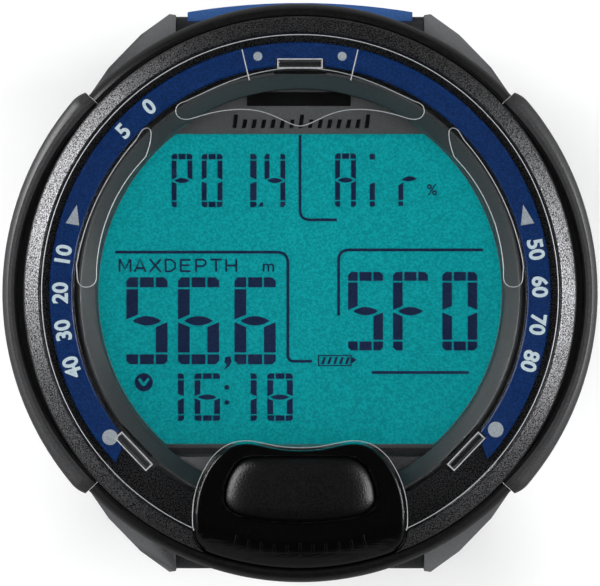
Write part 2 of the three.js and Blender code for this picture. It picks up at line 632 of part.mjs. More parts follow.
// Buckle: frame with two cheeks and an end bar, tongue and pin.
const buckleGroup = new THREE.Group();
buckleGroup.position.set(0, BUCKLE_Y, BUCKLE_Z);
computer.add(buckleGroup);
const CHEEK_X = STRAP_END_W / 2 + 0.5;
const FRAME_LENGTH = 11.5;
function buckleFrame() {
  const wall = 2.2;
  const s = new THREE.Shape([
    new THREE.Vector2(1.9, 1.9), new THREE.Vector2(-1.9, 1.9), new THREE.Vector2(-1.7, -FRAME_LENGTH),
    new THREE.Vector2(1.7, -FRAME_LENGTH),
  ]);
  const block = prism(s, -CHEEK_X - wall, CHEEK_X + wall, 4, 0.3).transform(Y_Z_TO_X);
  const opening = box(-CHEEK_X, CHEEK_X, -4, 4, -FRAME_LENGTH + 3, 4);
  const bore = rodX(0.95, -20, 20, 0, 0, 14);
  return cut(block, opening, bore);
}
node("buckle_frame", buckleFrame(), BLACK_GLOSS, buckleGroup);
node("buckle_tongue", cut(join(
  rodX(1.7, -1.6, 1.6, 0, 0, 16),
  sidePrism([[1.2, -1], [2.2, -7.6], [2.3, -12.4], [3.3, -12.4], [3.3, -7.4], [1.7, 0.2]], 1.1),
), rodX(0.95, -3, 3, 0, 0, 14)), STEEL, buckleGroup);
node("buckle_pin", rodX(0.75, -CHEEK_X - 1.9, CHEEK_X + 1.9, 0, 0, 12), STEEL, buckleGroup);

export default computer;
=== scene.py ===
import math

import bmesh
import bpy
from mathutils import Matrix, Vector


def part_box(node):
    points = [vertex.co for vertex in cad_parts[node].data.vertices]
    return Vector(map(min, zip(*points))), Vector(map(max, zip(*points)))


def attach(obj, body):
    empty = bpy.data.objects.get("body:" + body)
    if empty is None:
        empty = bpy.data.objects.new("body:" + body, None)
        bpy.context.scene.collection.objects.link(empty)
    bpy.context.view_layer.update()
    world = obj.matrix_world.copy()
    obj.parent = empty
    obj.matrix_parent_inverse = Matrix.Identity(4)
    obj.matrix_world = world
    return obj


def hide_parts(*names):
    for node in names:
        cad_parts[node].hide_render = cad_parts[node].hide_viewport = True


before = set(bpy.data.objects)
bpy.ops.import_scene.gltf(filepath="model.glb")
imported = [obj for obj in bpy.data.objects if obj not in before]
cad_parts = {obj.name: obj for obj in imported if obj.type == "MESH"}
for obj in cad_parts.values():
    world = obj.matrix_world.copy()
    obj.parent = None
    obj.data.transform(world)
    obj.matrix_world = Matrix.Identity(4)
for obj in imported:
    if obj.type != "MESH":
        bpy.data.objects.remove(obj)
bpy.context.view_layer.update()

# A dive computer with its strap. Shapes are given in millimetres: x towards 3 o'clock, y towards
# 12 o'clock, and z above the back of the case, whose height comes from the rear cover.
MM = 0.001
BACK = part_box("rear_cover")[0].z / MM
PIN_Z = (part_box("strap_pin_upper")[0].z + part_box("strap_pin_upper")[1].z) / 2 / MM

SMOOTH_ANGLE = 32  # degrees up to which neighbouring faces shade as one
MERGE_SEAM, MERGE, MERGE_CAD = 1e-7, 1e-6, 2e-6  # metres within which points are one


# ---------------------------------------------------------------- small tools

def deselect():
    bpy.ops.object.select_all(action="DESELECT")


def choose(obj):
    deselect()
    obj.select_set(True)
    bpy.context.view_layer.objects.active = obj


def polar(r, degrees):
    a = math.radians(degrees)
    return r * math.cos(a), r * math.sin(a)


def tidy(obj, sharp=SMOOTH_ANGLE):
    """Merges doubles, turns the faces out and shades smooth up to an angle."""
    choose(obj)
    bpy.ops.object.mode_set(mode="EDIT")
    bpy.ops.mesh.select_all(action="SELECT")
    bpy.ops.mesh.remove_doubles(threshold=MERGE)
    bpy.ops.mesh.normals_make_consistent(inside=False)
    if bmesh.from_edit_mesh(obj.data).calc_volume(signed=True) < 0:
        bpy.ops.mesh.flip_normals()
    bpy.ops.object.mode_set(mode="OBJECT")
    return shaded(obj, sharp)


def shaded(obj, sharp):
    """Smooth up to an angle, with large flat faces kept flat next to rounded edges."""
    choose(obj)
    bpy.ops.object.shade_smooth_by_angle(angle=math.radians(sharp))
    m = obj.modifiers.new("flat_faces", "WEIGHTED_NORMAL")
    m.keep_sharp = True
    return apply_modifiers(obj)


def apply_modifiers(obj):
    choose(obj)
    for m in list(obj.modifiers):
        bpy.ops.object.modifier_apply(modifier=m.name)
    return obj


def bevelled(obj, width, angle=40):
    """Rounds the edges that turn more than an angle."""
    m = obj.modifiers.new("edge_round", "BEVEL")
    m.width, m.segments, m.limit_method = width * MM, 2, "ANGLE"
    m.angle_limit = math.radians(angle)
    m.use_clamp_overlap = True
    return apply_modifiers(obj)


def carve(obj, *cutters):
    """Takes the cutters' shapes away, and the cutters with them."""
    for cutter in cutters:
        m = obj.modifiers.new("carve", "BOOLEAN")
        m.operation, m.object, m.solver = "DIFFERENCE", cutter, "EXACT"
        apply_modifiers(obj)
        bpy.data.objects.remove(cutter)


def spun(name, profile, start=0.0, sweep=360.0, steps=192):
    """A closed (radius, height) profile turned about the dial's axis, anticlockwise from 3 o'clock."""
    deselect()
    bpy.ops.mesh.primitive_circle_add(vertices=len(profile), radius=MM)
    obj = bpy.context.object
    obj.name = name
    for v, (r, z) in zip(obj.data.vertices, profile):
        x, y = polar(r, start)
        v.co = (x * MM, y * MM, (BACK + z) * MM)
    bpy.ops.object.mode_set(mode="EDIT")
    bpy.ops.mesh.select_all(action="SELECT")
    bpy.ops.mesh.spin(steps=steps, angle=math.radians(sweep), center=(0, 0, 0), axis=(0, 0, SPIN_SIGN))
    bpy.ops.mesh.select_all(action="SELECT")
    bpy.ops.mesh.remove_doubles(threshold=MERGE_SEAM)
    if sweep < 360:
        bpy.ops.mesh.select_all(action="DESELECT")
        bpy.ops.mesh.select_non_manifold()
        bpy.ops.mesh.fill_holes(sides=0)
    bpy.ops.object.mode_set(mode="OBJECT")
    return tidy(obj)


def spin_sense():
    """+1 or -1: which way the spin operator turns about +Z here."""
    deselect()
    bpy.ops.mesh.primitive_circle_add(vertices=3, radius=MM, location=(0, 0, 0))
    obj = bpy.context.object
    for v, co in zip(obj.data.vertices, ((1, 0, 0), (1.1, 0, 0), (1, 0, 0.1))):
        v.co = co
    bpy.ops.object.mode_set(mode="EDIT")
    bpy.ops.mesh.select_all(action="SELECT")
    bpy.ops.mesh.spin(steps=1, angle=0.5, center=(0, 0, 0), axis=(0, 0, 1))
    bpy.ops.object.mode_set(mode="OBJECT")
    turned_up = max(v.co.y for v in obj.data.vertices) > 0.1
    bpy.data.objects.remove(obj)
    return 1 if turned_up else -1


SPIN_SIGN = spin_sense()


def plate(name, outlines, low, high, bevel=0.0, base=BACK, rounds=2):
    """Flat outlines filled between two heights. An outline inside another is a hole."""
    deselect()
    bpy.ops.curve.primitive_bezier_circle_add(radius=MM)
    obj = bpy.context.object
    obj.name = name
    curve = obj.data
    curve.splines.clear()
    curve.dimensions, curve.fill_mode = "2D", "BOTH"
    for outline in outlines:
        s = curve.splines.new("POLY")
        s.points.add(len(outline) - 1)
        for p, (x, y) in zip(s.points, outline):
            p.co = (x, y, 0, 1)
        s.use_cyclic_u = True
    curve.extrude = (high - low) / 2 - bevel
    curve.bevel_depth, curve.bevel_resolution, curve.offset = bevel, rounds, -bevel
    # the outlines were filled at a thousand times their size, where filling is exact
    obj.scale = (MM, MM, MM)
    obj.location.z = (base + (low + high) / 2) * MM
    choose(obj)
    bpy.ops.object.convert(target="MESH")
    obj = bpy.context.object
    bpy.ops.object.transform_apply(location=True, rotation=True, scale=True)
    return tidy(obj)


def lofted(name, loops, sharp):
    """A capped skin through loops of (x, y, z) above the ground, each with the same number of points."""
    rows, around = len(loops), len(loops[0])
    deselect()
    bpy.ops.mesh.primitive_grid_add(x_subdivisions=around, y_subdivisions=rows - 1, size=MM)
    obj = bpy.context.object
    obj.name = name
    across = around + 1
    for i, v in enumerate(obj.data.vertices):
        row, k = divmod(i, across)
        v.co = Vector(loops[row][k % around]) * MM
    choose(obj)
    bpy.ops.object.mode_set(mode="EDIT")
    bpy.ops.mesh.select_all(action="SELECT")
    bpy.ops.mesh.remove_doubles(threshold=MERGE_SEAM)
    bpy.ops.mesh.select_all(action="DESELECT")
    bpy.ops.mesh.select_non_manifold()
    bpy.ops.mesh.fill_holes(sides=0)
    bpy.ops.object.mode_set(mode="OBJECT")
    return tidy(obj, sharp)


def block(name, x0, x1, y0, y1, z0, z1, turn):
    """A cutter or blank, turned about the dial's axis by an angle in degrees."""
    deselect()
    bpy.ops.mesh.primitive_cube_add(size=MM)
    obj = bpy.context.object
    obj.name = name
    centre = Vector(((x0 + x1) / 2, (y0 + y1) / 2, BACK + (z0 + z1) / 2))
    spin = Matrix.Rotation(math.radians(turn), 4, "Z")
    for v in obj.data.vertices:
        co = v.co / MM
        stretched = Vector((co.x * (x1 - x0), co.y * (y1 - y0), co.z * (z1 - z0)))
        v.co = spin @ (stretched + centre) * MM
    return obj


def refined(node, name, bevel):
    """A copy of a CAD node, cleaned to whole faces and given rounded edges."""
    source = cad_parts[node]
    deselect()
    obj = source.copy()
    obj.data = source.data.copy()
    obj.name = name
    obj.parent = None
    obj.matrix_world = Matrix.Identity(4)
    for key in list(obj.keys()):
        del obj[key]
    obj.data.materials.clear()
    bpy.context.scene.collection.objects.link(obj)
    choose(obj)
    bpy.ops.object.mode_set(mode="EDIT")
    bpy.ops.mesh.select_all(action="SELECT")
    bpy.ops.mesh.remove_doubles(threshold=MERGE_CAD)
    bpy.ops.mesh.dissolve_limited(angle_limit=math.radians(0.6))
    bpy.ops.object.mode_set(mode="OBJECT")
    bevelled(obj, bevel, 35)
    return shaded(obj, SMOOTH_ANGLE)


def finish_piece(obj, body, slot, material, *nodes):
    """Gives a piece its material, the CAD nodes it stands for and the body it rides on. The slot is not
    used.
    """
    obj.data.materials.clear()
    obj.data.materials.append(material)
    if nodes:
        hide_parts(*nodes)
    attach(obj, body)


# ---------------------------------------------------------------- materials

def add_node(tree, kind, values=None, **settings):
    """A shader node with its settings, and with values on its unlinked inputs."""
    node = tree.nodes.new("ShaderNode" + kind)
    for key, value in settings.items():
        setattr(node, key, value)
    for key, value in (values or {}).items():
        node.inputs[key].default_value = value
    return node


def grain_group():
    """Moulded or blasted grain: two colours mixed by fine noise, a roughness with broad smudges,
    edges worn a little lighter, and a normal."""
    g = bpy.data.node_groups.new("surface_grain", "ShaderNodeTree")
    for name, kind, value in (
        ("Colour", "Color", (0.02, 0.02, 0.02, 1)),
        ("Grain colour", "Color", (0.04, 0.04, 0.04, 1)),
        ("Grain size", "Float", 0.2),
        ("Grain depth", "Float", 0.2),
        ("Roughness", "Float", 0.4),
        ("Smudges", "Float", 0.1),
        ("Wear", "Float", 0.1),
    ):
        s = g.interface.new_socket(name=name, in_out="INPUT", socket_type="NodeSocket" + kind)
        s.default_value = value
    for name, kind in (("Colour", "Color"), ("Roughness", "Float"), ("Normal", "Vector")):
        g.interface.new_socket(name=name, in_out="OUTPUT", socket_type="NodeSocket" + kind)
    link = g.links.new
    gin, gout = g.nodes.new("NodeGroupInput"), g.nodes.new("NodeGroupOutput")
    place = add_node(g, "TexCoord")
    # the grain's size is in millimetres, and the noise is scaled per metre
    scale = add_node(g, "Math", {0: 1000.0}, operation="DIVIDE")
    link(gin.outputs["Grain size"], scale.inputs[1])
    fine = add_node(g, "TexNoise", {"Detail": 2.0})
    link(place.outputs["Object"], fine.inputs["Vector"])
    link(scale.outputs[0], fine.inputs["Scale"])
    contrast = add_node(g, "MapRange", {"From Min": 0.4, "From Max": 0.62})
    link(fine.outputs["Fac"], contrast.inputs["Value"])
    broad = add_node(g, "TexNoise", {"Scale": 90.0, "Detail": 4.0})
    link(place.outputs["Object"], broad.inputs["Vector"])
    mix = add_node(g, "Mix", data_type="RGBA")
    link(contrast.outputs["Result"], mix.inputs["Factor"])
    link(gin.outputs["Colour"], mix.inputs["A"])
    link(gin.outputs["Grain colour"], mix.inputs["B"])
    geo = add_node(g, "NewGeometry")
    edge = add_node(g, "MapRange", {"From Min": 0.53, "From Max": 0.62})
    link(geo.outputs["Pointiness"], edge.inputs["Value"])
    worn = add_node(g, "Math", operation="MULTIPLY")
    link(edge.outputs["Result"], worn.inputs[0])
    link(gin.outputs["Wear"], worn.inputs[1])
    lighter = add_node(g, "Mix", data_type="RGBA")
    lighter.inputs["B"].default_value = (0.32, 0.33, 0.35, 1)
    link(worn.outputs[0], lighter.inputs["Factor"])
    link(mix.outputs["Result"], lighter.inputs["A"])
    link(lighter.outputs["Result"], gout.inputs["Colour"])
    centred = add_node(g, "Math", {1: 0.5}, operation="SUBTRACT")
    link(broad.outputs["Fac"], centred.inputs[0])
    smear = add_node(g, "Math", operation="MULTIPLY_ADD")
    link(centred.outputs[0], smear.inputs[0])
    link(gin.outputs["Smudges"], smear.inputs[1])
    link(gin.outputs["Roughness"], smear.inputs[2])
    link(smear.outputs[0], gout.inputs["Roughness"])
    bump = add_node(g, "Bump", {"Distance": 0.00005})
    link(gin.outputs["Grain depth"], bump.inputs["Strength"])
    link(fine.outputs["Fac"], bump.inputs["Height"])
    link(bump.outputs["Normal"], gout.inputs["Normal"])
    return g


GRAIN = grain_group()


def grained(name, colour, grain_colour, size, depth, roughness, smudges=0.1, wear=0.0, **shader):
    """A material whose colour, roughness and bump come from the shared grain."""
    m = bpy.data.materials.new(name)
    m.use_nodes = True
    link = m.node_tree.links.new
    surface = m.node_tree.nodes["Principled BSDF"]
    g = add_node(m.node_tree, "Group", {
        "Colour": (*colour, 1), "Grain colour": (*grain_colour, 1), "Grain size": size, "Grain depth": depth,
        "Roughness": roughness, "Smudges": smudges, "Wear": wear,
    }, node_tree=GRAIN)
    link(g.outputs["Colour"], surface.inputs["Base Color"])
    link(g.outputs["Roughness"], surface.inputs["Roughness"])
    link(g.outputs["Normal"], surface.inputs["Normal"])
    for key, value in shader.items():
        surface.inputs[key.replace("_", " ")].default_value = value
    return m


# name, colour, colour of the grain, its size in mm, its depth, roughness, smudges and wear
CASE_BLACK = grained("case_satin_black", (0.04, 0.04, 0.042), (0.06, 0.06, 0.063), 0.25, 0.25, 0.42,
                     wear=0.25)
BUMPER_BLACK = grained("bumper_black", (0.004, 0.004, 0.004), (0.007, 0.007, 0.007), 0.3, 0.08, 0.27, 0.08)
GRIP_BLACK = grained("grip_black", (0.03, 0.03, 0.031), (0.048, 0.048, 0.05), 0.2, 0.22, 0.36, 0.12)
BEZEL_GREY = grained("bezel_blasted_grey", (0.02, 0.02, 0.021), (0.27, 0.27, 0.28), 0.15, 1.0, 0.33,
                     0.05, 0.1, Metallic=0.97)
TRIM_BLUE = grained("trim_blue", (0.0005, 0.012, 0.072), (0.003, 0.034, 0.145), 0.16, 0.1, 0.3,
                    Specular_IOR_Level=0.3)
FRAME_GREY = grained("display_frame_grey", (0.034, 0.035, 0.037), (0.046, 0.048, 0.05), 0.2, 0.15, 0.36)
CARD_GREY = grained("display_card_grey", (0.1, 0.106, 0.107), (0.125, 0.132, 0.133), 0.15, 0.1, 0.45)
INLAY_BLACK = grained("inlay_black", (0.004, 0.004, 0.004), (0.007, 0.007, 0.007), 0.2, 0.1, 0.3)
PRINT_WHITE = grained("ring_print_white", (0.5, 0.62, 0.66), (0.6, 0.71, 0.75), 0.2, 0.1, 0.5)
PRINT_GREY = grained("ring_print_grey", (0.27, 0.31, 0.34), (0.36, 0.4, 0.43), 0.2, 0.1, 0.5)
KEY_BLACK = grained("key_gloss_black", (0.0008, 0.0008, 0.0008), (0.0015, 0.0015, 0.0015), 0.3, 0.05, 0.2)
PAD_BLACK = grained("pad_satin_black", (0.0012, 0.0012, 0.0012), (0.004, 0.004, 0.004), 0.2, 0.9, 0.37)
STRAP_BLACK = grained("strap_rubber_black", (0.018, 0.019, 0.021), (0.028, 0.029, 0.031), 0.3, 0.5, 0.55,
                      0.15)
STRAP_BLUE = grained("strap_inlay_blue", (0.02, 0.08, 0.26), (0.028, 0.1, 0.3), 0.25, 0.3, 0.42)
STEEL = grained("stainless_satin", (0.5, 0.51, 0.53), (0.6, 0.61, 0.63), 0.12, 0.15, 0.28, Metallic=1.0)
DARK_STEEL = grained("buckle_dark_steel", (0.3, 0.305, 0.31), (0.38, 0.385, 0.39), 0.12, 0.25, 0.3,
                     Metallic=1.0)
BRASS = grained("brass_plate", (0.62, 0.44, 0.16), (0.72, 0.53, 0.22), 0.2, 0.2, 0.3, Metallic=1.0)
SEAL_BLACK = grained("seal_rubber_black", (0.02, 0.02, 0.022), (0.03, 0.03, 0.033), 0.25, 0.4, 0.6)
WHITE_PLASTIC = grained("diffuser_white", (0.7, 0.71, 0.7), (0.78, 0.78, 0.76), 0.2, 0.2, 0.45)
BOARD_GREEN = grained("board_green", (0.01, 0.1, 0.035), (0.015, 0.14, 0.05), 0.4, 0.3, 0.4)
CHIP_BLACK = grained("chip_resin_black", (0.02, 0.02, 0.02), (0.03, 0.03, 0.03), 0.1, 0.4, 0.55)
INK = grained("display_ink_navy", (0.004, 0.012, 0.06), (0.012, 0.03, 0.11), 0.13, 0.1, 0.45)


def clear(name, tint, alpha, roughness):
    """Clear moulded plastic or glass that lets plain light through as well as bending it."""
    return grained(name, tint, tint, 0.5, 0.01, roughness, 0.02,
                   Transmission_Weight=1.0, Alpha=alpha, IOR=1.4)


SHIELD_CLEAR = clear("shield_clear", (0.96, 0.97, 0.98), 0.22, 0.06)
WINDOW_CLEAR = clear("window_clear", (0.96, 0.98, 0.98), 0.18, 0.03)
# painted highlight: an opaque light grey that stands in for the light caught by the clear shield's edges
SHIELD_PAINTED_HIGHLIGHT = grained("shield_bright_edge", (0.3, 0.31, 0.32), (0.4, 0.41, 0.42), 0.25, 0.2, 0.25)


def display_teal():
    """The display's reflective teal: fine sparkle, a painted shade that leaves it brighter towards the top,
    and a painted glow given off as emission.
    """
    m = grained("display_teal", (0.0005, 0.215, 0.235), (0.002, 0.32, 0.345), 0.22, 0.1, 0.45, 0.05,
                Specular_IOR_Level=0.15, Emission_Strength=0.5)
    tree, link = m.node_tree, m.node_tree.links.new
    surface = tree.nodes["Principled BSDF"]
    grain = next(k for k in tree.nodes if k.type == "GROUP")
    place = add_node(tree, "TexCoord")
    split = add_node(tree, "SeparateXYZ")
    link(place.outputs["Object"], split.inputs[0])
    # painted shade: the colour is multiplied down towards the bottom of the display
    shade = add_node(tree, "MapRange", {
        "From Min": -0.018, "From Max": 0.018, "To Min": 0.86, "To Max": 1.04,
    })
    link(split.outputs["Y"], shade.inputs["Value"])
    painted_shade = add_node(tree, "Mix", {"Factor": 1.0}, data_type="RGBA", blend_type="MULTIPLY")
    link(grain.outputs["Colour"], painted_shade.inputs["A"])
    link(shade.outputs["Result"], painted_shade.inputs["B"])
    link(painted_shade.outputs["Result"], surface.inputs["Base Color"])
    # painted glow: the display's own colour is given off as emission, though it is no lamp
    link(painted_shade.outputs["Result"], surface.inputs["Emission Color"])
    return m


DISPLAY_TEAL_PAINTED_LIGHT = display_teal()


# ---------------------------------------------------------------- outlines

def curve_points(start, *beziers, steps=14):
    """Points along joined cubic curves; each is (control, control, end)."""
    points, at = [start], start
    for c1, c2, end in beziers:
        for i in range(1, steps + 1):
            t = i / steps
            u = 1 - t
            points.append(tuple(
                u ** 3 * at[k] + 3 * u * u * t * c1[k] + 3 * u * t * t * c2[k] + t ** 3 * end[k]
                for k in (0, 1)))
        at = end
    return points


def arc_points(r, start, end, steps, centre=(0.0, 0.0)):
    """Points along an arc between two angles in degrees, both ends included."""
    return [(centre[0] + r * math.cos(math.radians(start + (end - start) * i / steps)),
             centre[1] + r * math.sin(math.radians(start + (end - start) * i / steps)))
            for i in range(steps + 1)]


def mirrored(half):
    """A closed outline from its left half, whose ends lie on the mirror line or beside it."""
    right = [(-x, y) for x, y in reversed(half)]
    if abs(half[-1][0]) < 1e-6:
        right = right[1:]
    if abs(half[0][0]) < 1e-6:
        right = right[:-1]
    return half + right


def surround_outline(grow=0.0):
    """The key's surround: a rounded arch with a shallow dip in its top and feet on the rim."""
    g = grow
    foot_r = 30.4 + g
    foot_x = 9.5 + g
    foot = (-foot_x, -math.sqrt(foot_r ** 2 - foot_x ** 2))
    half = curve_points(
        foot,
        ((-10.6 - g, -28.52 - g * 0.5), (-11.45 - g, -27.9), (-11.55 - g, -26.6)),
        ((-11.7 - g, -23.8), (-11.5 - g, -21.2), (-9.6 - g, -18.6 + g * 0.7)),
        ((-8.3 - g * 0.5, -17.1 + g), (-7.2, -16.65 + g), (-5.9, -16.65 + g)),
        ((-4.3, -16.65 + g), (-3.1, -17.42 + g), (0.0, -17.42 + g)),
    )
    outline = mirrored(half)
    span = math.degrees(math.asin(foot_x / foot_r))
    return outline + arc_points(foot_r, -90 + span, -90 - span, 24)[1:-1]


def pad_outline(grow=0.0):
    """The key pad: flat top edge, full rounded shoulders and a gently bowed lower edge."""
    g = grow
    half = curve_points(
        (0.0, -25.3 - g),
        ((-2.4, -25.3 - g), (-4.4, -25.1 - g), (-5.9, -24.75 - g)),
        ((-7.6 - g, -24.4 - g), (-8.45 - g, -23.6 - g), (-8.45 - g, -22.6)),
        ((-8.4 - g, -20.7), (-7.4 - g, -18.2 + g), (-5.2, -18.1 + g)),
        ((-3.6, -18.06 + g), (-2.0, -18.06 + g), (0.0, -18.06 + g)),
    )
    return mirrored(half)


def window_outline(r, low):
    """A disc cut straight across at the bottom."""
    from_angle = math.degrees(math.asin(low / r))
    return arc_points(r, from_angle, 180 - from_angle, 120)


SHIELD_R = 28.55


def shield_outline():
    """The clear shield: round, with a notch that follows the key's surround, its corners just rounded."""
    left, right = 180 + 65.6, -65.6
    rim = arc_points(SHIELD_R, right, left, 168)
    half = curve_points(
        rim[-1],
        ((-11.6, -26.4), (-11.75, -26.1), (-11.8, -25.6)),
        ((-11.9, -23.4), (-11.7, -21.1), (-9.8, -18.3)),
        ((-8.5, -16.75), (-7.3, -16.35), (-5.9, -16.35)),
        ((-4.3, -16.35), (-3.1, -17.12), (0.0, -17.12)),
    )
    notch = half[1:] + [(-x, y) for x, y in reversed(half[1:-1])]
    return rim + notch


def arch_slot():
    """The flushing slot above the display: a bow with turned-up ends."""
    half = curve_points(
        (0.0, 18.45),
        ((-1.6, 18.6), (-3.0, 20.25), (-6.2, 20.3)),
        ((-8.6, 20.3), (-10.2, 19.85), (-11.9, 19.3)),
        ((-13.0, 19.0), (-13.7, 19.4), (-13.65, 20.2)),
        ((-13.55, 20.8), (-13.2, 20.9), (-12.6, 21.1)),
        ((-9.2, 22.7), (-5.4, 24.75), (0.0, 24.8)),
    )
    return mirrored(half)


def kidney_slot(side):
    """A flushing slot beside the display: round foot, straight sides and a slanted point at the top."""
    points = [polar(22.55, 4.4)]
    points += [polar(22.6 + 0.3 * math.sin(math.radians((a - 4) * 4)), a) for a in range(7, 40, 3)]
    points += curve_points(polar(22.75, 41.5), (polar(23.2, 44.2), polar(23.8, 46.6), polar(24.35, 47.3)),
                           (polar(24.7, 47.6), polar(25.0, 46.9), polar(24.95, 45.6)), steps=8)
    points += [polar(24.85 - 0.25 * math.sin(math.radians((a - 4) * 3.6)), a) for a in range(43, 6, -3)]
    points += curve_points(polar(24.6, 4.6), (polar(24.6, 2.6), polar(24.2, 1.7), polar(23.6, 1.7)),
                           (polar(23.0, 1.7), polar(22.55, 2.6), polar(22.55, 4.4)), steps=7)[:-1]
    return [(side * x, y) for x, y in points]


# ---------------------------------------------------------------- front of the module

CLIPS = (90.0, -43.6, 223.6)  # where the shield's clips are, in degrees from 3 o'clock


def clip_cutters(r0, r1, z0, z1, half):
    """Cutters for the clips' pockets, from one radius and height to another."""
    return [block("cut", r0, r1, -half, half, z0, z1, turn) for turn in CLIPS]


def make_bezel():
    bezel = spun("bezel", [
        (25.0, 17.7), (30.3, 17.7), (30.35, 19.2), (30.58, 19.4), (30.6, 19.95), (30.52, 20.25),
        (30.35, 20.42), (29.1, 21.62), (28.95, 21.72), (28.82, 21.7), (28.74, 21.58), (28.72, 20.5),
        (28.6, 20.42), (25.05, 20.4), (25.0, 20.35),
    ], steps=240)
    carve(bezel, plate("cut", [surround_outline(0.3)], 15, 25), *clip_cutters(24, 25.95, 17, 21, 2.9))
    tidy(bezel, 30)
    finish_piece(bezel, "module", "bezel_plastic", BEZEL_GREY, "top_bezel")


def make_trim():
    start, sweep = -41.6, 264.2
    outer, width = 27.7, 2.5
    trim = spun("blue_trim", [
        (25.15, 20.62), (outer, 20.62), (outer, 21.2), (27.62, 21.3), (25.28, 21.3), (25.15, 21.18),
    ], start=start, sweep=sweep, steps=200)
    # both ends are cut on a slant: the inner edge is shorter than the outer
    for v in trim.data.vertices:
        x, y = v.co.x, v.co.y
        r = math.hypot(x, y)
        a = (math.degrees(math.atan2(y, x)) - start) % 360
        t = a / sweep if a <= sweep + 1 else 0.0
        inward = (outer - r / MM) / width
        shifted = math.radians(start + 3.0 * inward + t * (sweep - 5.4 * inward))
        v.co.x, v.co.y = r * math.cos(shifted), r * math.sin(shifted)
    carve(trim, *clip_cutters(24, 25.9, 17, 22, 2.7))
    tidy(trim, 30)
    finish_piece(trim, "module", "trim_blue", TRIM_BLUE, "trim_ring")


def make_display_frame():
    wall = spun("display_frame_wall", [
        (22.62, 17.45), (24.55, 17.45), (24.58, 20.4), (24.5, 20.5), (24.3, 20.5), (24.12, 20.36),
        (22.74, 18.42), (22.62, 18.2),
    ], steps=220)
    carve(wall, plate("cut", [surround_outline(0.3)], 15, 25), *clip_cutters(24.2, 26, 17, 22, 2.9))
    tidy(wall, 30)
    finish_piece(wall, "module", "frame_grey", FRAME_GREY, "display_frame")


def make_window():
    window = plate("front_window_glass", [window_outline(24.4, -17.9)], low=15.7, high=17.1, bevel=0.15)
    finish_piece(window, "module", "window_glass", WINDOW_CLEAR, "front_window")


def display_opening():
    """A disc cut straight across at the top and the bottom."""
    r, low, top = 22.45, -16.8, 17.7
    a0, a1 = math.degrees(math.asin(low / r)), math.degrees(math.asin(top / r))
    return arc_points(r, a0, a1, 60) + arc_points(r, 180 - a1, 180 - a0, 60)


def make_card():
    card = plate("display_card", [window_outline(22.68, -17.3), display_opening()],
                 low=13.5, high=14.0, bevel=0.06)
    finish_piece(card, "module", "frame_grey", CARD_GREY, "display_mask")


def rounded_box(x0, x1, y0, y1, r=0.2, steps=4):
    out = []
    corners = ((x1 - r, y1 - r), (x0 + r, y1 - r), (x0 + r, y0 + r), (x1 - r, y0 + r))
    for i, corner in enumerate(corners):
        out += arc_points(r, i * 90, i * 90 + 90, steps, corner)
    return out


def make_card_inlays():
    """A plain panel above the display, and a bar scale of leaning strokes below it."""
    shapes = [rounded_box(-5.9, 5.65, 20.8, 22.35, 0.12)]
    foot, half = 18.35, 0.22
    for i in range(15):
        x = -7.3 + i * 1.05
        head = foot + (1.5 if i % 7 == 0 else 0.95)
        shapes.append([(x - half, foot), (x + half, foot), (x + 0.42, head), (x - 0.02, head)])
    inlays = plate("card_inlays", shapes, low=14.02, high=14.12, bevel=0.02)
    finish_piece(inlays, "module", "frame_grey", INLAY_BLACK)


# ---------------------------------------------------------------- display characters

SEGMENTS = {
    "0": "abcdef", "1": "bc", "4": "bcfg", "5": "acdfg", "6": "acdefg", "8": "abcdefg", "P": "abefg",
    "A": "abcefg", "F": "aefg", "S": "acdfg",
}


def glyph(x, y, w, h, char, stroke, bar, gap=0.16):
    """The pieces of one display character with its lower left corner at (x, y): three blocks across
    the top and bottom, slanted uprights and a lens in the middle."""
    on = SEGMENTS[char]
    third = (w - 2 * gap) / 3
    side = max(stroke, third * 0.92)
    mid = h / 2
    slope = stroke * 0.42
    shapes = []

    def block_shape(x0, x1, y0, y1, round_left=0, round_right=0):
        c = bar * 0.35
        lower = y0 < mid
        pts = []
        if lower:
            pts += [(x0, y1), (x0, y0 + c), (x0 + c, y0)] if round_left else [(x0, y1), (x0, y0)]
            pts += [(x1 - c, y0), (x1, y0 + c), (x1, y1)] if round_right else [(x1, y0), (x1, y1)]
        else:
            pts += [(x0, y0), (x1, y0)]
            pts += [(x1, y1 - c), (x1 - c, y1)] if round_right else [(x1, y1)]
            pts += [(x0 + c, y1), (x0, y1 - c)] if round_left else [(x0, y1)]
        shapes.append(pts)

    top, low = h - bar, bar
    if "a" in on or "f" in on:
        block_shape(0, side if "a" in on else stroke, top, h, round_left=1)
    if "a" in on or "b" in on:
        block_shape(w - (side if "a" in on else stroke), w, top, h, round_right=1)
    if "a" in on and w > 2 * side + 2.2 * gap:
        block_shape(side + gap, w - side - gap, top, h)
    if "d" in on or "e" in on:
        block_shape(0, side if "d" in on else stroke, 0, low, round_left=1)
    if "d" in on or "c" in on:
        block_shape(w - (side if "d" in on else stroke), w, 0, low, round_right=1)
    if "d" in on and w > 2 * side + 2.2 * gap:
        block_shape(side + gap, w - side - gap, 0, low)
    for name, left, upper in (("f", 1, 1), ("b", 0, 1), ("e", 1, 0), ("c", 0, 0)):
        if name not in on:
            continue
        x0, x1 = (0, stroke) if left else (w - stroke, w)
        near, far = (gap * 0.7, gap * 0.7 + slope)
        outer, inner = (x0, x1) if left else (x1, x0)
        s = 1 if upper else -1
        end = (top - gap) if upper else (low + gap)
        shapes.append([(outer, mid + s * near), (outer, end), (inner, end), (inner, mid + s * far)])
    if "g" in on:
        x0, x1 = stroke * 0.52, w - stroke * 0.52
        half = bar * 0.47
        cx = (x0 + x1) / 2
        upper_edge = [(x0 + (x1 - x0) * i / 12, half * math.sin(math.pi * i / 12) ** 0.8)
                      for i in range(13)]
        shapes.append([(px, mid + py) for px, py in upper_edge]
                      + [(px, mid - py) for px, py in reversed(upper_edge[1:-1])])
    return [[(x + px, y + py) for px, py in s] for s in shapes]


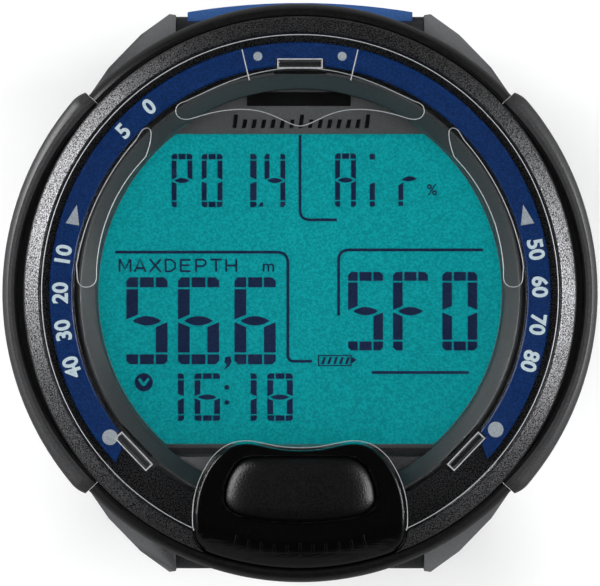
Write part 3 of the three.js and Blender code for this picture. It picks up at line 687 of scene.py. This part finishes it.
def stroke_shape(points, width):
    """A line of even width through points, as a closed outline."""
    left, right = [], []
    for i, p in enumerate(points):
        a, b = points[max(i - 1, 0)], points[min(i + 1, len(points) - 1)]
        dx, dy = b[0] - a[0], b[1] - a[1]
        d = math.hypot(dx, dy)
        nx, ny = -dy / d * width / 2, dx / d * width / 2
        left.append((p[0] + nx, p[1] + ny))
        right.append((p[0] - nx, p[1] - ny))
    return left + right[::-1]


def elbow(a, corner, b, r, steps=6):
    """Points from a to b with a rounded corner."""
    def toward(p, q, d):
        length = math.hypot(q[0] - p[0], q[1] - p[1])
        return (p[0] + (q[0] - p[0]) * d / length, p[1] + (q[1] - p[1]) * d / length)
    p, q = toward(corner, a, r), toward(corner, b, r)
    bend = [((1 - t) ** 2 * p[0] + 2 * (1 - t) * t * corner[0] + t * t * q[0],
             (1 - t) ** 2 * p[1] + 2 * (1 - t) * t * corner[1] + t * t * q[1])
            for t in (i / steps for i in range(steps + 1))]
    return [a, *bend, b]


def dot(x, y, r, steps=18):
    return arc_points(r, 0, 360 - 360 / steps, steps - 1, (x, y))


def display_shapes():
    shapes = []
    # gas pressure, upper left
    small = dict(stroke=0.56, bar=0.62, gap=0.13)
    for char, x in (("P", -14.3), ("0", -10.95), ("4", -3.95)):
        shapes += glyph(x, 9.55, 2.32, 5.95, char, **small)
    shapes += glyph(-5.55, 9.55, 0.72, 5.95, "1", 0.72, 0.62, 0.13)
    shapes.append([(-4.62, 9.62), (-4.1, 9.62), (-4.1, 10.1), (-4.4, 10.1)])
    # gas name, upper right
    shapes += glyph(3.9, 9.6, 2.34, 5.95, "A", **small)
    shapes += [
        rounded_box(7.75, 8.35, 14.85, 15.5, 0.1),
        [(7.75, 10.35), (8.35, 10.35), (8.35, 12.35), (7.75, 12.1)],
        rounded_box(7.75, 8.35, 9.62, 10.2, 0.1),
        [(10.95, 10.35), (11.5, 10.35), (11.5, 12.3), (10.95, 12.0)],
        rounded_box(10.95, 11.5, 9.7, 10.2, 0.1),
        [(11.25, 12.55), (11.6, 12.85), (12.1, 13.02), (12.6, 12.98), (13.05, 12.72), (12.6, 12.5),
         (12.0, 12.42)],
    ]
    # frame lines
    line = 0.32
    shapes.append(stroke_shape(elbow((0.0, 17.6), (0.0, 8.15), (4.1, 8.15), 1.1), line))
    shapes.append(stroke_shape(elbow((-20.6, 4.55), (-1.35, 4.55), (-1.35, -7.0), 1.2)[:-1]
                               + elbow((-1.35, -6.0), (-1.35, -7.6), (1.35, -7.6), 0.7), line))
    shapes.append(stroke_shape(elbow((20.4, 4.8), (4.3, 4.8), (4.3, -2.5), 1.2), line))
    shapes.append(stroke_shape([(8.0, -8.85), (13.4, -8.85), (18.8, -8.85)], line))
    # depth
    big = dict(stroke=1.32, bar=1.12, gap=0.2)
    for char, x in (("5", -19.35), ("6", -13.6), ("6", -7.3)):
        shapes += glyph(x, -7.95, 4.6, 9.7, char, **big)
    shapes.append([(-8.5, -8.6), (-8.15, -7.95), (-8.45, -7.75), (-8.35, -7.15), (-7.75, -7.05),
                   (-7.6, -7.6), (-7.9, -8.2)])
    # mode
    for char, x in (("S", 5.35), ("F", 10.35), ("0", 15.85)):
        shapes += glyph(x, -6.4, 3.9, 8.75, char, 1.08, 1.0, 0.18)
    # battery
    shapes += [
        [(2.0, -8.15), (5.75, -8.15), (5.75, -7.85), (6.35, -7.45), (5.75, -7.1), (5.75, -6.9), (2.0, -6.9)],
        [(2.14, -8.02), (5.62, -8.02), (5.62, -7.03), (2.14, -7.03)],
    ]
    for i in range(5):
        x = 2.35 + i * 0.66
        shapes.append([(x, -7.92), (x + 0.3, -7.92), (x + 0.58, -7.13), (x + 0.28, -7.13)])
    # time
    for char, x in (("6", -11.75), ("8", -3.65)):
        shapes += glyph(x, -14.25, 2.85, 5.3, char, 0.66, 0.62, 0.14)
    shapes += glyph(-13.6, -14.25, 0.68, 5.3, "1", 0.68, 0.62, 0.14)
    shapes += glyph(-5.5, -14.25, 0.68, 5.3, "1", 0.68, 0.62, 0.14)
    shapes += [dot(-8.15, -10.5, 0.28), dot(-8.15, -12.2, 0.28)]
    # clock
    shapes.append(dot(-17.4, -9.95, 1.02, 28))
    shapes.append([(-17.55, -10.35), (-17.25, -10.35), (-16.75, -9.6), (-16.95, -9.45), (-17.4, -10.0),
                   (-17.85, -9.45), (-18.05, -9.6)])
    return shapes


def text_piece(name, words, x, y, size, low, high, turn=0.0, align="LEFT", weight=0.075):
    """Plain lettering as a thin raised print."""
    deselect()
    bpy.ops.object.text_add(location=(0, 0, 0))
    obj = bpy.context.object
    obj.name = name
    obj.data.body = words
    obj.data.size = size
    obj.data.align_x = align
    obj.data.extrude = (high - low) / 2
    obj.data.resolution_u = 4
    obj.data.offset = weight
    obj.scale = (MM, MM, MM)
    obj.rotation_euler.z = math.radians(turn)
    obj.location = (x * MM, y * MM, (BACK + (low + high) / 2) * MM)
    bpy.ops.object.convert(target="MESH")
    obj = bpy.context.object
    bpy.ops.object.transform_apply(location=True, rotation=True, scale=True)
    return tidy(obj, 30)


def joined(name, objs):
    deselect()
    for o in objs:
        o.select_set(True)
    bpy.context.view_layer.objects.active = objs[0]
    bpy.ops.object.join()
    obj = bpy.context.object
    obj.name = name
    return obj


INK_LOW, INK_HIGH = 13.12, 13.18
LAYER_STEP = 0.005  # how much lower each further layer of strokes ends

# plain capitals as strokes on a square of side 1, one list for each layer
CAPITALS = {
    "M": ([(0, 0), (0, 1)], [(0.03, 1), (0.5, 0.2), (0.97, 1)], [(1, 1), (1, 0)]),
    "A": ([(0, 0), (0.5, 1), (1, 0)], [(0.2, 0.3), (0.8, 0.3)]),
    "X": ([(0, 0), (1, 1)], [(0, 1), (1, 0)]),
    "D": ([(0.06, 0), (0.06, 1)],
          [(0.06, 0.96), (0.55, 0.96), (0.92, 0.7), (0.92, 0.3), (0.55, 0.04), (0.06, 0.04)]),
    "E": ([(0.06, 0), (0.06, 1)], [(0.06, 0.94), (0.95, 0.94)], [(0.06, 0.06), (0.95, 0.06)],
          [(0.1, 0.52), (0.85, 0.52)]),
    "P": ([(0.06, 0), (0.06, 1)],
          [(0.06, 0.96), (0.72, 0.96), (0.94, 0.82), (0.94, 0.6), (0.72, 0.45), (0.1, 0.45)]),
    "T": ([(0, 0.97), (1, 0.97)], [(0.5, 0), (0.5, 0.95)]),
    "H": ([(0.04, 0), (0.04, 1)], [(0.96, 0), (0.96, 1)], [(0.05, 0.5), (0.95, 0.5)]),
}


def label_pieces(word, x, y, w, h, pitch, line):
    """A word in plain stroked capitals, one thin plate for the first strokes of all letters, one for
    the second, and so on, so that crossing strokes don't cut holes in each other."""
    layers = []
    for layer in range(max(len(CAPITALS[c]) for c in word)):
        outlines = []
        for i, c in enumerate(word):
            if layer < len(CAPITALS[c]):
                points = [(x + i * pitch + px * w, y + py * h) for px, py in CAPITALS[c][layer]]
                outlines.append(stroke_shape(points, line))
        layers.append(plate("label", outlines, INK_LOW, INK_HIGH - layer * LAYER_STEP))
    return layers


def make_display():
    glass = refined("lcd_panel", "display_glass", 0.1)
    finish_piece(glass, "module", "lcd_teal", DISPLAY_TEAL_PAINTED_LIGHT, "lcd_panel")
    marks = [plate("segments", display_shapes(), INK_LOW, INK_HIGH)]
    marks += label_pieces("MAXDEPTH", -20.1, 2.35, 1.22, 1.42, 1.69, 0.22)
    marks.append(text_piece("unit", "m", -4.25, 2.4, 1.9, INK_LOW, INK_HIGH, weight=0.02))
    marks.append(text_piece("percent", "%", 14.1, 10.9, 1.75, INK_LOW, INK_HIGH, weight=0.02))
    ink = joined("display_segments", marks)
    finish_piece(ink, "module", "lcd_teal", INK)


def make_ring_print():
    """Dots, triangles and depth scale numbers printed on the trim."""
    low, high = 21.3, 21.34
    spots = plate("ring_marks", [
        dot(*polar(26.55, 100.1), 0.5), dot(*polar(26.55, 79.9), 0.5),
        dot(*polar(26.35, 217.2), 0.86, 28), dot(*polar(26.35, -34.9), 0.86, 28),
        [polar(25.5, 17.0), polar(26.5, 21.6), polar(27.0, 16.6)],
        [polar(25.5, 163.0), polar(26.5, 158.4), polar(27.0, 163.4)],
    ], low, high)
    finish_piece(spots, "module", "trim_blue", PRINT_GREY)
    marks = []
    # the numbers follow the ring clockwise, with their feet towards the display
    for words, first, pitch in (
        (("40", "30", "20", "10"), 198.0, 9.0),
        (("5", "0"), 137.5, 8.5),
        (("50", "60", "70", "80"), 10.5, 9.0),
    ):
        for i, word in enumerate(words):
            a = first - i * pitch
            x, y = polar(25.7, a)
            marks.append(text_piece("n", word, x, y, 2.35, low, high, turn=a - 90, align="CENTER"))
    finish_piece(joined("ring_print", marks), "module", "trim_blue", PRINT_WHITE)


# ---------------------------------------------------------------- shield, key, grips, bumper

def turned(points, a):
    """Points turned about the dial's axis by an angle in radians."""
    return [(x * math.cos(a) - y * math.sin(a), x * math.sin(a) + y * math.cos(a)) for x, y in points]


def clip_rim(turn):
    """A fine raised outline on the shield over each clip, drawn in the shield's painted highlight."""
    outer = ((24.75, -2.5), (25.85, -2.5), (25.85, 2.5), (24.75, 2.5))
    inner = ((24.87, -2.38), (25.73, -2.38), (25.73, 2.38), (24.87, 2.38))
    rings = [turned(ring, math.radians(turn)) for ring in (outer, inner)]
    return plate("rim", rings, 23.04, 23.1)


SHIELD_ABOVE = 23.06  # height that only the raised lines on the shield pass


def make_shield():
    shield = plate("clip_on_shield", [shield_outline(), arch_slot(), kidney_slot(1), kidney_slot(-1)],
                   low=21.75, high=23.05, bevel=0.13, rounds=3)
    legs = [bevelled(block("leg", 24.98, 25.62, -2.35, 2.35, 18.6, 22.0, turn), 0.08) for turn in CLIPS]
    lines = [block("rib", 24.1, 27.6, -0.06, 0.06, 23.04, 23.09, 90 + side * 13.4) for side in (-1, 1)]
    lines += [clip_rim(turn) for turn in CLIPS]
    shield = joined("clip_on_shield", [shield, *legs, *lines])
    shield.data.materials.clear()
    shield.data.materials.append(SHIELD_CLEAR)
    shield.data.materials.append(SHIELD_PAINTED_HIGHLIGHT)
    # the rounded rims of the plate, the raised lines and the clips' outlines get a painted highlight: an
    # opaque light grey in place of the light their clear edges catch
    for f in shield.data.polygons:
        level = abs(f.normal.z) if f.center.z < (BACK + SHIELD_ABOVE) * MM else 0.5
        f.material_index = 1 if 0.3 < level < 0.9 else 0
    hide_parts("clear_shield")
    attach(shield, "shield")


RIB_R, RIB_PITCH, RIB_HALF = 28.3, 2.9, 0.16  # radius of the ribs' middles, degrees apart, half width
SLOPE_START, SLOPE_RUN = 27.2, 3.2  # radius where the surround starts to slope down, and how far it goes
SLOPE_FOOT = 18.9
PAD_GAP = 0.25


def make_surround():
    body = plate("key_surround_body", [surround_outline()], low=17.5, high=22.85, bevel=0.42, rounds=4)
    carve(body, plate("cut", [pad_outline(PAD_GAP)], 17.0, 24.0))
    bevelled(body, 0.1, 50)
    # plain raised ribs below the pad
    ribs = []
    for i in range(-5, 6):
        half = 0.55 if i % 5 else 0.8
        corners = ((RIB_R - half, -RIB_HALF), (RIB_R + half, -RIB_HALF),
                   (RIB_R + half, RIB_HALF), (RIB_R - half, RIB_HALF))
        ribs.append(turned(corners, math.radians(-90 + i * RIB_PITCH)))
    body = joined("key_surround_body", [body, plate("ribs", ribs, low=22.6, high=23.1, bevel=0.09)])
    # its outer end slopes down with the rim of the bezel, once it is cut into small enough faces
    choose(body)
    bpy.ops.object.mode_set(mode="EDIT")
    for i in range(13):
        bpy.ops.mesh.select_all(action="SELECT")
        bpy.ops.mesh.bisect(plane_co=(0, (-25.2 - i * 0.42) * MM, 0), plane_no=(0, 1, 0))
    for i in range(-12, 13):
        bpy.ops.mesh.select_all(action="SELECT")
        bpy.ops.mesh.bisect(plane_co=((i + 0.03) * 0.9 * MM, 0, 0), plane_no=(1, 0, 0))
    bpy.ops.object.mode_set(mode="OBJECT")
    for v in body.data.vertices:
        r = math.hypot(v.co.x, v.co.y) / MM
        if v.co.y < -0.022 and v.co.z > (BACK + 19) * MM:
            drop = max(0.0, r - SLOPE_START) / SLOPE_RUN
            v.co.z -= (v.co.z - (BACK + SLOPE_FOOT) * MM) * min(1.0, drop) ** 1.6 * 0.72
    tidy(body, 35)
    finish_piece(body, "module", "key_plastic", KEY_BLACK, "key_surround")


def make_pad():
    """The domed pad: its outline shrunk towards its middle, height by height."""
    outline = pad_outline()
    cy = -21.5
    levels = [(1.0, 18.9), (1.0, 21.9), (0.99, 22.3), (0.965, 22.7), (0.925, 23.05), (0.87, 23.36),
              (0.8, 23.58), (0.71, 23.73), (0.6, 23.82), (0.46, 23.87), (0.3, 23.89), (0.15, 23.9)]
    loops = [[(x * s, cy + (y - cy) * s, BACK + z) for x, y in outline] for s, z in levels]
    pad = lofted("key_pad_cap", loops, sharp=50)
    finish_piece(pad, "key", "pad_plastic", PAD_BLACK, "key_pad")


GRIP_HALF = 43.05  # degrees from a grip's middle to its end
GRIP_LEAN = 0.72  # how far the inner edge of its top leans in at the ends
GRIP_END, GRIP_END_SHARE = 0.93, 0.07  # where its end starts to round off, as a share of the half length
GRIP_END_ROUND = 0.42
FLUTE_PITCH = 3.6  # degrees
FLUTE_DEPTH = 0.35
FLUTED = 7.5 * FLUTE_PITCH / GRIP_HALF  # share of the grip's half length


def make_grip(name, node, middle):
    grip = spun(name, [
        (30.75, 5.3), (31.4, 5.0), (32.2, 6.4), (32.8, 8.6), (32.87, 9.4), (32.93, 9.9), (33.0, 11.0),
        (33.0, 15.2), (33.0, 15.9), (33.0, 16.4), (33.0, 17.6), (32.93, 18.5), (32.7, 19.1),
        (32.35, 19.42), (31.95, 19.48), (31.66, 19.3), (31.52, 18.8), (31.5, 13.1), (30.85, 12.9),
    ], start=middle - GRIP_HALF, sweep=2 * GRIP_HALF, steps=258)
    for v in grip.data.vertices:
        r = math.hypot(v.co.x, v.co.y) / MM
        z = v.co.z / MM - BACK
        angle = (math.degrees(math.atan2(v.co.y, v.co.x)) - middle + 180) % 360 - 180
        a = abs(angle) / GRIP_HALF
        inward = 0.0
        if z > 13 and r < 32.5:
            inward = GRIP_LEAN * a ** 2 * (1 if r < 31.8 else 0.6)
        shrink = GRIP_END_ROUND * max(0.0, (a - GRIP_END) / GRIP_END_SHARE) ** 2
        rr = r - inward - (shrink if r > 31.9 else 0)
        if 9.6 < z < 16.1 and r > 32.5 and a < FLUTED:
            # shallow upright flutes for the fingers, fading out at their ends
            wave = 0.5 + 0.5 * math.cos(2 * math.pi * (a * GRIP_HALF / FLUTE_PITCH))
            rr -= FLUTE_DEPTH * wave ** 1.5 * (1 if 9.8 < z < 15.8 else 0.5)
        v.co.x *= rr / r
        v.co.y *= rr / r
        if a > GRIP_END and z > 17:
            v.co.z -= shrink * 1.4 * MM
    tidy(grip, 40)
    finish_piece(grip, "module", "grip_plastic", GRIP_BLACK, node)


BUMPER_HALF = 46.9  # degrees


def make_bumper(name, node, middle):
    bumper = spun(name, [
        (30.5, 11.3), (31.3, 11.2), (31.85, 11.5), (32.1, 12.2), (32.1, 16.6), (32.02, 17.6), (31.8, 18.4),
        (31.45, 18.95), (31.1, 19.15), (30.8, 19.12), (30.62, 18.95), (30.5, 18.6),
    ], start=middle - BUMPER_HALF, sweep=2 * BUMPER_HALF, steps=120)
    finish_piece(bumper, "module", "bumper_rubber", BUMPER_BLACK, node)


# ---------------------------------------------------------------- straps

def make_accent():
    """The blue inlay in the upper strap's end, with a gently bowed outer edge."""
    bow = 78
    outline = [(12.6, 30.4)] + arc_points(bow, 80.7, 99.3, 40, (0.0, 32.5 - bow)) + [(-12.6, 30.4)]
    accent = plate("strap_blue_inlay", [outline], PIN_Z - 3.3, PIN_Z + 1.6, bevel=0.12, base=0.0)
    finish_piece(accent, "strap_upper", "strap_blue", STRAP_BLUE, "strap_accent")


STRAP_OUTSIDE = -30.2


def make_strap_ribs():
    """Low ribs across the outside of the lower strap, each with rounded ends."""
    ribs = []
    for i in range(5):
        z = 31.6 + i * 2.3
        half = 8.6 - 0.5 * abs(i - 2)
        rib = plate("rib", [rounded_box(-half, half, z - 0.55, z + 0.55, 0.54, 8)],
                    low=-0.6, high=0.45, bevel=0.3, base=0.0, rounds=4)
        # made lying flat, then stood up against the strap
        for v in rib.data.vertices:
            x, up, out = v.co
            v.co = (x, STRAP_OUTSIDE * MM - out, up)
        ribs.append(rib)
    ribs = tidy(joined("strap_lower_ribs", ribs), 40)
    finish_piece(ribs, "strap_lower", "strap_rubber", STRAP_BLACK)


# ---------------------------------------------------------------- build everything

make_bezel()
make_trim()
make_display_frame()
make_window()
make_card()
make_card_inlays()
make_display()
make_ring_print()
make_shield()
make_surround()
make_pad()
make_grip("grip_right", "side_grip_right", middle=0.0)
make_grip("grip_left", "side_grip_left", middle=180.0)
make_bumper("bumper_upper", "bumper_ring_upper", middle=90)
make_bumper("bumper_lower", "bumper_ring_lower", middle=270)
make_accent()
make_strap_ribs()

for node, name, body, slot, material, bevel in (
    ("main_case", "case_body", "module", "case_plastic", CASE_BLACK, 0.15),
    ("rear_cover", "rear_cover_plate", "module", "case_plastic", CASE_BLACK, 0.1),
    ("battery_cap", "battery_cap_disc", "cap", "key_plastic", KEY_BLACK, 0.12),
    ("sensor_grille", "sensor_grille_disc", "module", "stainless", STEEL, 0.05),
    ("strap_lower", "strap_lower_band", "strap_lower", "strap_rubber", STRAP_BLACK, 0.25),
    ("strap_upper", "strap_upper_band", "strap_upper", "strap_rubber", STRAP_BLACK, 0.25),
    ("keeper_loop", "keeper_band", "keeper", "strap_rubber", STRAP_BLACK, 0.45),
    ("buckle_frame", "buckle_frame_bar", "buckle", "buckle_steel", DARK_STEEL, 0.3),
    ("buckle_tongue", "buckle_tongue_bar", "tongue", "buckle_steel", DARK_STEEL, 0.2),
    ("buckle_pin", "buckle_pin_rod", "strap_upper", "stainless", STEEL, 0.08),
    *(("case_screw_%d" % i, "case_screw_" + letter, "module", "stainless", STEEL, 0.06)
      for i, letter in enumerate("abcd", 1)),
):
    finish_piece(refined(node, name, bevel), body, slot, material, node)

# both strap ends all but fill the slot between the lugs
END_HALF, SLOT_HALF = 13.5, 13.84
for band in ("strap_lower_band", "strap_upper_band"):
    for v in bpy.data.objects[band].data.vertices:
        if abs(v.co.x) > 13 * MM and v.co.z > 38 * MM:
            v.co.x *= SLOT_HALF / END_HALF

# pieces inside the case keep their shapes and take real finishes
INSIDE = {
    SEAL_BLACK: ("window_gasket", "key_seal", "contact_strip_upper", "contact_strip_lower", "rear_seal",
                 "battery_cap_seal"),
    STEEL: ("key_stem", "key_spring", "key_circlip", "key_switch", "clock_crystal", "pressure_sensor",
            "coin_battery", "strap_pin_upper", "strap_pin_lower"),
    WHITE_PLASTIC: ("light_guide", "battery_tray"),
    BOARD_GREEN: ("circuit_board",),
    CHIP_BLACK: ("processor_chip",),
    BRASS: ("buzzer_disc", "battery_contact_upper"),
}
for material, nodes in INSIDE.items():
    for node in nodes:
        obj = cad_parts[node]
        obj.data.materials.clear()
        obj.data.materials.append(material)

# ---------------------------------------------------------------- floor, light and camera

def make_floor():
    """A pale paper floor, which glossy surfaces see much darker."""
    deselect()
    bpy.ops.mesh.primitive_plane_add(size=6)
    floor = bpy.context.object
    floor.name = "studio_floor"
    paper = bpy.data.materials.new("studio_paper")
    paper.use_nodes = True
    tree = paper.node_tree
    surface = tree.nodes["Principled BSDF"]
    ray = add_node(tree, "LightPath")
    shade = add_node(tree, "Mix", data_type="RGBA")
    shade.inputs["A"].default_value = (0.96, 0.96, 0.96, 1)
    shade.inputs["B"].default_value = (0.12, 0.12, 0.12, 1)
    tree.links.new(ray.outputs["Is Glossy Ray"], shade.inputs["Factor"])
    tree.links.new(shade.outputs["Result"], surface.inputs["Base Color"])
    surface.inputs["Roughness"].default_value = 0.9
    floor.data.materials.append(paper)


LIGHT_AIM = (0, 0, 0.05)


def softbox(name, place, size, power):
    """A rectangular area light in metres and watts, aimed at the object."""
    light = bpy.data.lights.new(name, "AREA")
    light.shape, light.size, light.size_y = "RECTANGLE", size[0], size[1]
    light.energy = power
    obj = bpy.data.objects.new(name, light)
    bpy.context.scene.collection.objects.link(obj)
    obj.location = place
    obj.rotation_mode = "QUATERNION"
    obj.rotation_quaternion = (Vector(LIGHT_AIM) - Vector(place)).to_track_quat("-Z", "Y")
    return obj


def make_world():
    """Plain white to the camera. To all else it is bright at the sides and dark between them."""
    world = bpy.data.worlds.new("studio")
    bpy.context.scene.world = world
    world.use_nodes = True
    tree, link = world.node_tree, world.node_tree.links.new
    sky = tree.nodes["Background"]
    where = add_node(tree, "TexCoord")
    parts = add_node(tree, "SeparateXYZ")
    link(where.outputs["Generated"], parts.inputs[0])
    sideways = add_node(tree, "Math", operation="ABSOLUTE")
    link(parts.outputs["X"], sideways.inputs[0])
    ramp = add_node(tree, "MapRange", {"From Min": 0.5, "From Max": 0.95, "To Min": 0.015, "To Max": 0.8})
    link(sideways.outputs[0], ramp.inputs["Value"])
    ray = add_node(tree, "LightPath")
    pick = add_node(tree, "Mix", {"B": 1.0}, data_type="FLOAT")
    link(ray.outputs["Is Camera Ray"], pick.inputs["Factor"])
    link(ramp.outputs["Result"], pick.inputs["A"])
    sky.inputs["Color"].default_value = (0.95, 0.96, 0.97, 1)
    link(pick.outputs["Result"], sky.inputs["Strength"])


VIEW_WIDTH = 66.42  # what the camera sees across, at the height of the dial
DIAL_HEIGHT = 19
DISTANCE = 0.95  # metres from the dial to the camera
SENSOR = 36


def make_camera():
    data = bpy.data.cameras.new("camera")
    data.sensor_width = SENSOR
    data.lens = SENSOR * DISTANCE / (VIEW_WIDTH * MM)
    data.clip_start, data.clip_end = 0.01, 20
    camera = bpy.data.objects.new("camera", data)
    bpy.context.scene.collection.objects.link(camera)
    camera.location = (0, 0, (BACK + DIAL_HEIGHT) * MM + DISTANCE)
    bpy.context.scene.camera = camera


make_floor()
softbox("softbox_left", (-0.6, 0.22, 0.24), (0.55, 0.3), 4.2)
softbox("softbox_right", (0.63, 0.02, 0.24), (0.4, 0.3), 3.2)
overhead = softbox("softbox_top", (0.0, 0.0, 1.3), (1.2, 1.2), 15.0)
overhead.visible_glossy = False
overhead.visible_transmission = False
make_world()
make_camera()
bpy.context.scene.view_settings.view_transform = "Standard"
